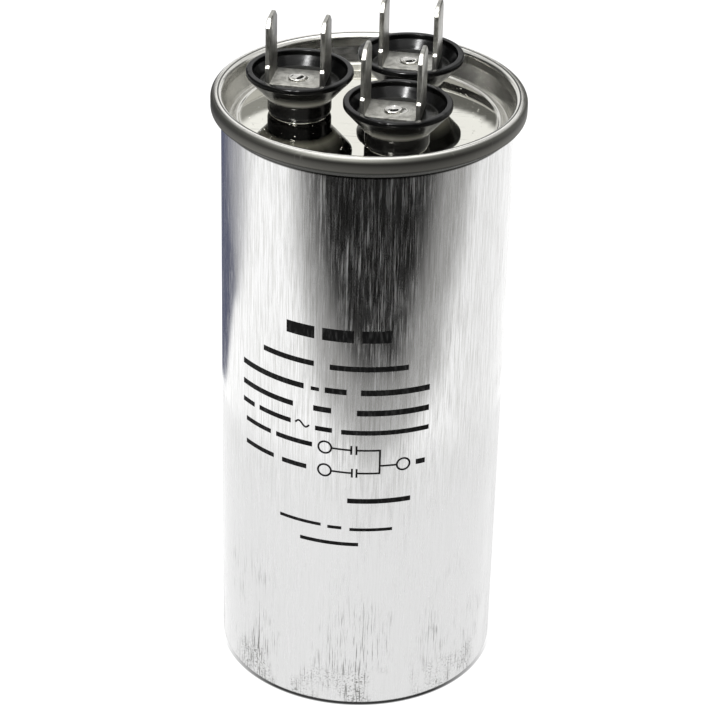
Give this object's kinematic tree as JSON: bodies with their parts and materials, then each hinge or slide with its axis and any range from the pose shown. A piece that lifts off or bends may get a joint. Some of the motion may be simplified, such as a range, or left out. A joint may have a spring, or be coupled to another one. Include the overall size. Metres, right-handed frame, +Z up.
{
  "type": "motor run capacitor",
  "caption": "Round motor run capacitor in a seamed aluminium can, with two-blade terminals standing in black cups on its lid.",
  "frame": {"origin": "centre of the can's base, on the surface it stands on", "axes": "+Z up the can's axis; +X across the can, along the line through the herm pole and the axis, with the herm pole on the -X side"},
  "size_m": [0.0536, 0.0536, 0.1227],
  "materials": {
    "can_aluminium": "satin",
    "tinned_lid": "satin",
    "seal_rubber": "matte",
    "moulded_black": "gloss",
    "tinned_brass": "satin",
    "rivet_steel": "satin",
    "insulating_board": "matte",
    "lug_brass": "satin",
    "lead_sleeve": "matte",
    "inner_plastic": "matte",
    "metallised_film": "gloss",
    "sprayed_zinc": "matte"
  },
  "bodies": {
    "root": {"can": "can_aluminium", "lid": "tinned_lid", "seam_compound": "seal_rubber", "common_cup": "moulded_black", "herm_cup": "moulded_black", "fan_cup": "moulded_black", "common_terminal": "tinned_brass", "herm_terminal": "tinned_brass", "fan_terminal": "tinned_brass", "common_rivet": "rivet_steel", "herm_rivet": "rivet_steel", "fan_rivet": "rivet_steel", "common_washer": "insulating_board", "herm_washer": "insulating_board", "fan_washer": "insulating_board", "common_lug": "lug_brass", "herm_lug": "lug_brass", "fan_lug": "lug_brass", "common_lead": "lead_sleeve", "herm_lead": "lead_sleeve", "fan_lead": "lead_sleeve", "interrupter_plate": "inner_plastic", "top_pad": "insulating_board", "liner": "inner_plastic", "base_pad": "insulating_board", "fan_winding": "metallised_film", "fan_core": "inner_plastic", "fan_upper_contact": "sprayed_zinc", "fan_lower_contact": "sprayed_zinc", "divider": "insulating_board", "herm_winding": "metallised_film", "herm_core": "inner_plastic", "herm_upper_contact": "sprayed_zinc", "herm_lower_contact": "sprayed_zinc"}
  },
  "joints": []
}
